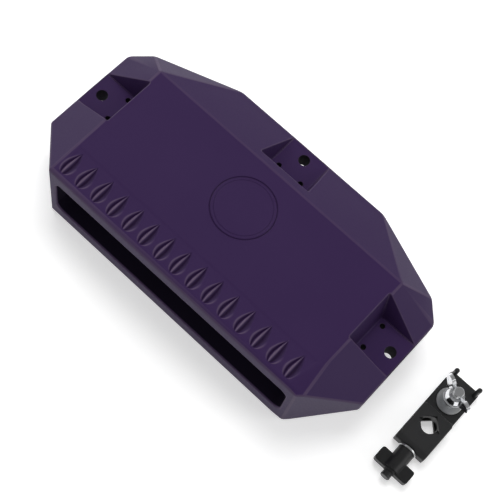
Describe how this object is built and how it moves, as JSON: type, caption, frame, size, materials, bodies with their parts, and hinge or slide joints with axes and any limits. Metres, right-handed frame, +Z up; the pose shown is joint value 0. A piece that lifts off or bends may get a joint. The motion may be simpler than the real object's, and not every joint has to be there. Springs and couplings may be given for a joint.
{
  "type": "woodblock",
  "caption": "Moulded percussion block with a slotted sound chamber, scraping ridges and mounting pockets, and a separate folded steel rod clamp with a wing nut and a T-knob.",
  "frame": {"origin": "on the flat underside of the block, midway between its ends and 62 mm behind its front face", "axes": "+X along the block towards the clamp's end, +Y towards the back, away from the slot, +Z up through the ridged top"},
  "size_m": [0.2865, 0.1235, 0.055],
  "materials": {
    "block_plastic": "satin purple moulded plastic",
    "black_steel": "black powder coat",
    "zinc_steel": "bright zinc plate",
    "chrome": "polished chrome plate",
    "knob_plastic": "fine grained black nylon",
    "brass": "turned"
  },
  "bodies": {
    "block": {"block_body": "block_plastic"},
    "bracket": {"clamp_channel": "black_steel", "locating_pins": "black_steel", "mounting_stud": "zinc_steel", "flat_washer": "zinc_steel", "knob_washer": "zinc_steel"},
    "nut_slider": {"nut_collar": "chrome"},
    "nut": {"wing_nut": "chrome"},
    "eye": {"eye_bolt": "zinc_steel"},
    "knob": {"wing_knob": "knob_plastic", "knob_insert": "brass"}
  },
  "joints": [
    {"name": "bracket_lift", "type": "slide", "parent": "block", "child": "bracket", "axis": [0, 0, 1], "range_m": [0, 0.06]},
    {"name": "nut_travel", "type": "slide", "parent": "bracket", "child": "nut_slider", "axis": [0, 0, 1], "range_m": [-0.0074, 0.0055]},
    {"name": "nut_turn", "type": "hinge", "parent": "nut_slider", "child": "nut", "pos_m": [0.155, 0.014, 0.0124], "axis": [0, 0, 1], "range_deg": [-2670, 1985]},
    {"name": "knob_turn", "type": "hinge", "parent": "bracket", "child": "knob", "pos_m": [0.155, -0.0345, 0.006], "axis": [0, 1, 0], "range_deg": [-365, 1265]},
    {"name": "eye_slide", "type": "slide", "parent": "bracket", "child": "eye", "axis": [0, -1, 0], "range_m": [-0.001, 0.0035]}
  ],
  "couplings": [
    {"joint": "nut_turn", "follows": "nut_travel", "rad_per_m": 6283.2},
    {"joint": "knob_turn", "follows": "eye_slide", "rad_per_m": 6283.2}
  ]
}
